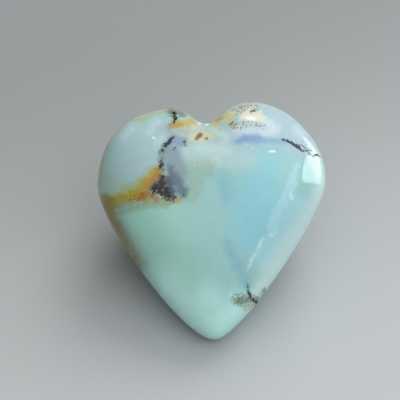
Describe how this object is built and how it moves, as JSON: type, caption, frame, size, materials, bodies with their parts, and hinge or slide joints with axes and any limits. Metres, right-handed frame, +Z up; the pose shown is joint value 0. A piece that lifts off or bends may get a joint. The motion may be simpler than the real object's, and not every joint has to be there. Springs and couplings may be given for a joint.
{
  "type": "polished andean opal heart",
  "caption": "Palm-stone heart of milky blue-green opal with dark moss-like inclusions and an iron stain, polished all over, lying on a flat ground on its back.",
  "frame": {"origin": "bottom centre of the stone's bounding box, on the surface that it lies on", "axes": "+Z up, -Y towards the pointed end, which is low at the front, +X to the right across the two lobes"},
  "size_m": [0.03, 0.0286, 0.0199],
  "materials": {
    "opal": "high polish, milky translucent, with dark dendritic specks and a yellow-brown iron stain"
  },
  "bodies": {
    "root": {"andean_opal_heart": "opal"}
  },
  "joints": []
}
